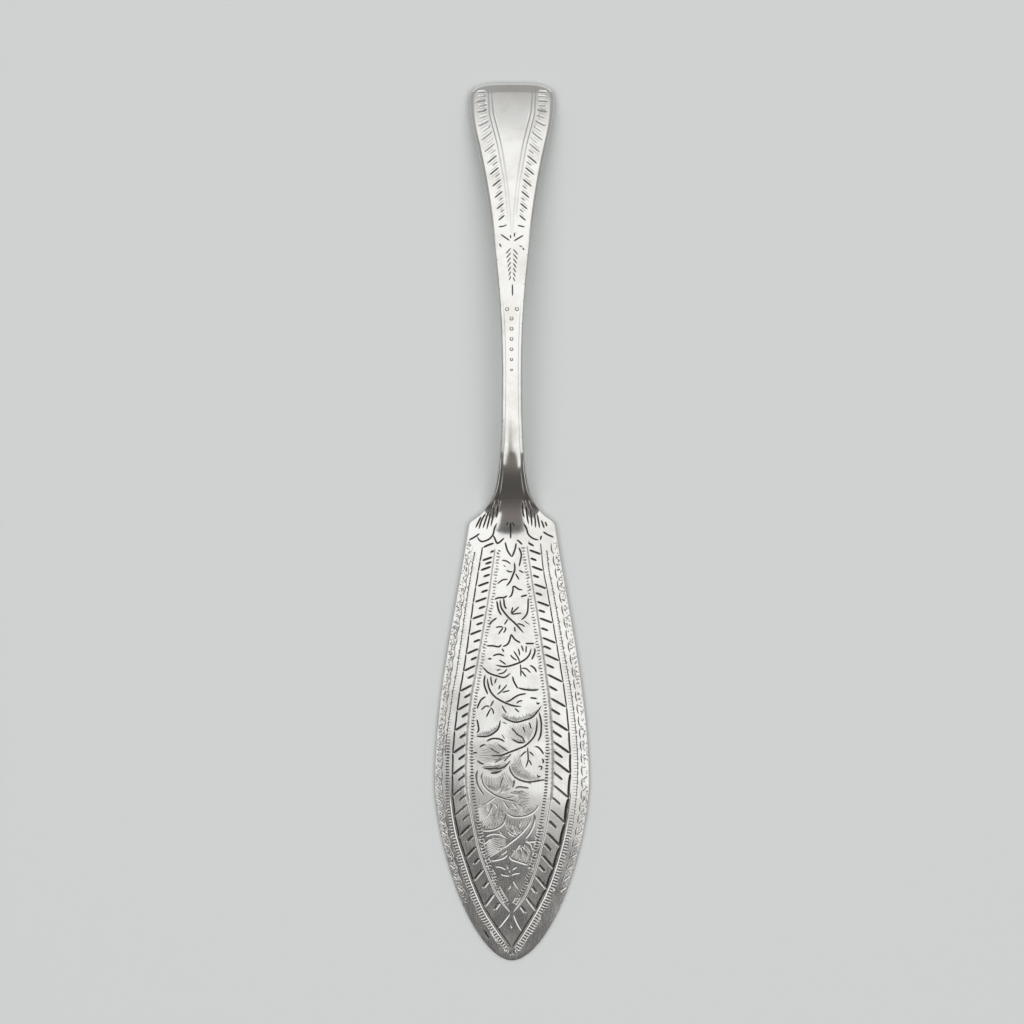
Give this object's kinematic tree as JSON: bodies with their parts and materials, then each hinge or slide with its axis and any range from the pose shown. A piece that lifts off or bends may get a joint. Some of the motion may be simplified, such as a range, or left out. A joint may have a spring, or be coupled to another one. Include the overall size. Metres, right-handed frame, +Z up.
{
  "type": "butter knife",
  "caption": "Butter knife with a flat leaf-shaped blade, a cranked neck and an arched bevelled handle that widens to a squared end.",
  "frame": {"origin": "under the middle of the knife's length, on the surface that it lies on", "axes": "+Y from the blade's tip to the handle's end, +Z up from the blade's flat underside, +X across the blade"},
  "size_m": [0.0336, 0.19, 0.0104],
  "materials": {
    "blade_plate": "polished silver plate, bright-cut engraved",
    "handle_plate": "polished silver plate, bright-cut engraved",
    "hard_solder": "filed flush"
  },
  "bodies": {
    "root": {"blade": "blade_plate", "handle": "handle_plate", "solder_seam": "hard_solder"}
  },
  "joints": []
}
